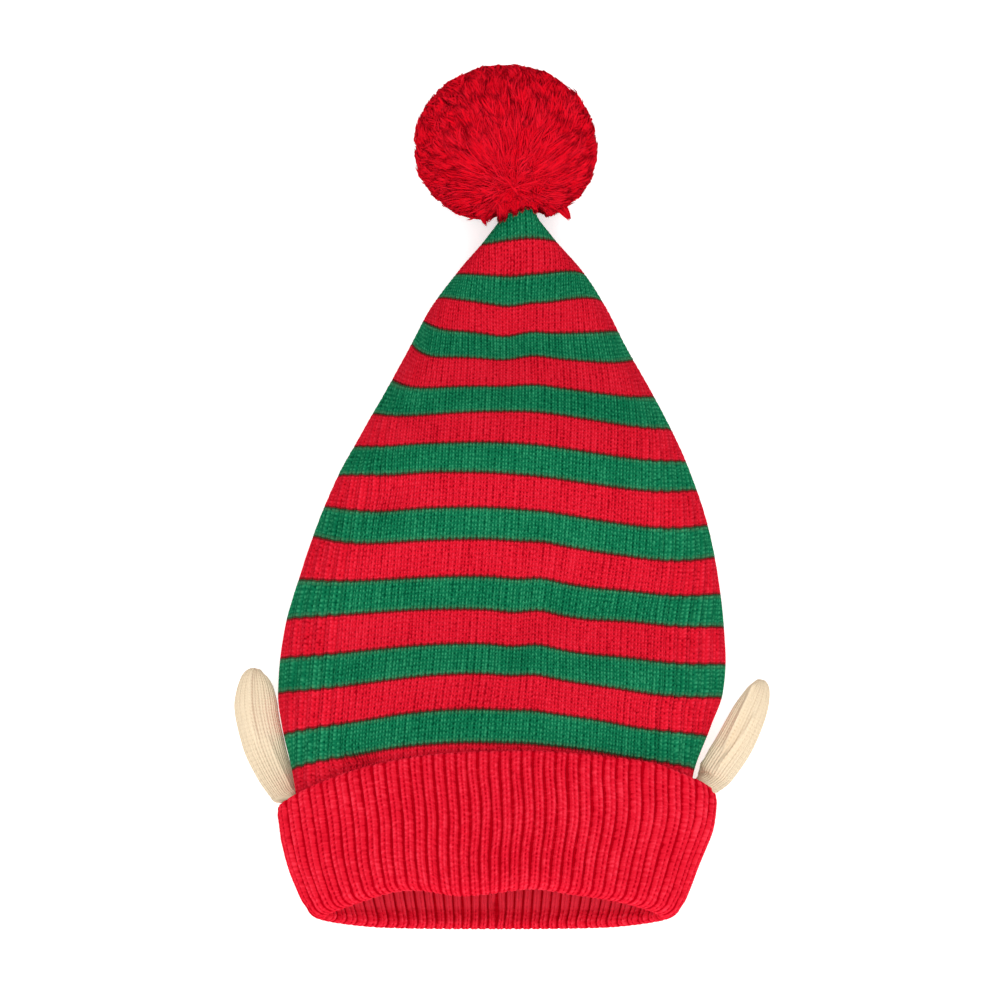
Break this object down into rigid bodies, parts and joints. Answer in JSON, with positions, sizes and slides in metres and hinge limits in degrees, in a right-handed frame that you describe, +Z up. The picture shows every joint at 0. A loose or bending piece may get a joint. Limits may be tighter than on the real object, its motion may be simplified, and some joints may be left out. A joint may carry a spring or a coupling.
{
  "type": "knitted elf hat",
  "caption": "Long pointed knitted hat in red and green stripes with a ribbed turned-up cuff, padded cream elf ears at the sides and a red yarn pompom.",
  "frame": {"origin": "on the flat back of the crown, 215 mm from the fold at the mouth, where the lying hat touches the ground", "axes": "+Z up, away from the ground; +Y from the mouth to the pompom; +X to the hat's right as it lies, seen from the mouth"},
  "size_m": [0.2542, 0.4322, 0.0839],
  "materials": {
    "green_knit": "knitted acrylic yarn, green stripes",
    "red_knit": "knitted acrylic yarn, red stripes and ribbed cuff",
    "cream_knit": "fine knitted cream yarn over padding",
    "pompom_yarn": "cut fluffy red yarn"
  },
  "bodies": {
    "root": {"crown": "green_knit", "cuff": "red_knit", "ear_left": "cream_knit", "ear_right": "cream_knit", "pompom": "pompom_yarn"}
  },
  "joints": []
}
